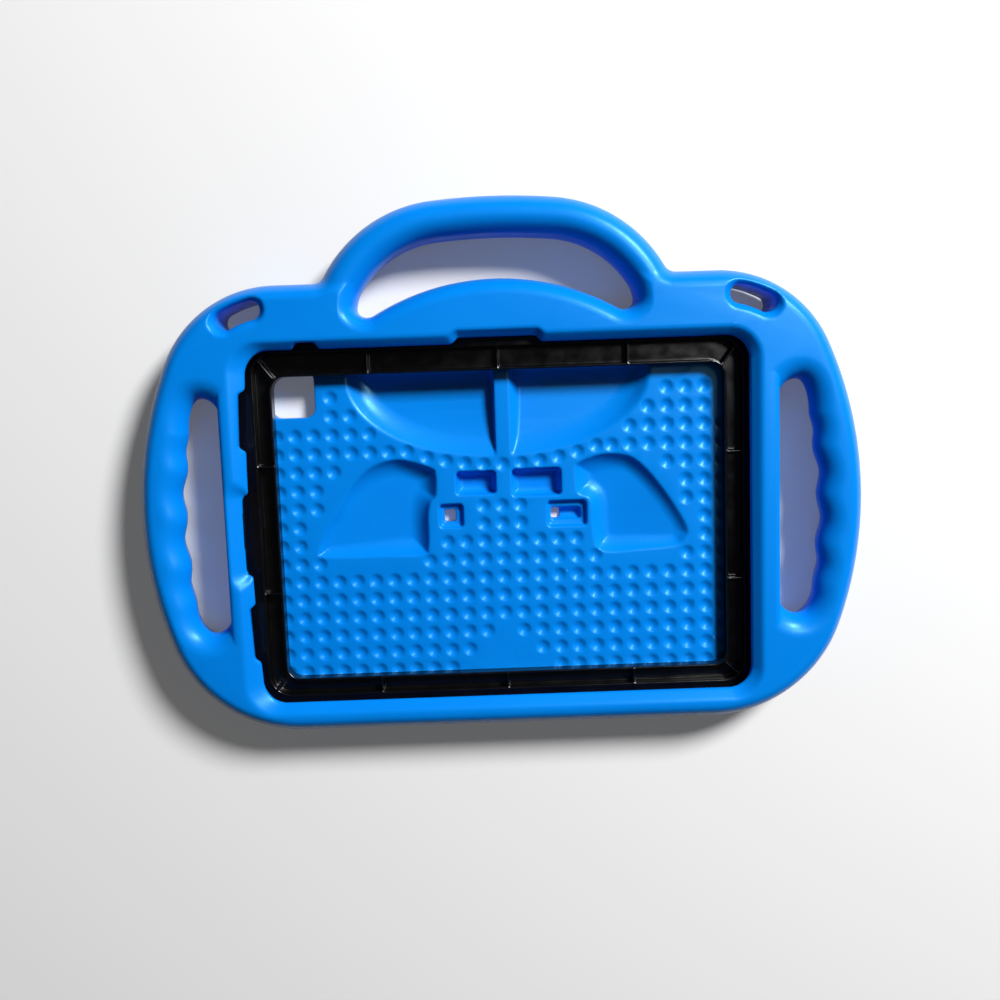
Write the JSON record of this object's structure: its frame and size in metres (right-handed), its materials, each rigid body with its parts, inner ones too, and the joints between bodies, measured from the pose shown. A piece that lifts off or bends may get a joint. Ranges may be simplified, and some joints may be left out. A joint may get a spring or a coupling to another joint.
{
  "type": "tablet case with carry handle",
  "caption": "Thick foam tablet case for a child, with a carry handle on top, a finger grip at each side and a black plastic spacer frame in its pocket.",
  "frame": {"origin": "under the middle of the bounding box, on the flat back that the case lies on", "axes": "+X to the right as the screen is seen, +Y towards the carry handle, +Z out of the front"},
  "size_m": [0.349, 0.2554, 0.028],
  "materials": {
    "foam": "satin closed-cell foam with a fine grain",
    "plastic": "glossy black"
  },
  "bodies": {
    "root": {"foam_body": "foam", "inner_frame": "plastic"}
  },
  "joints": []
}
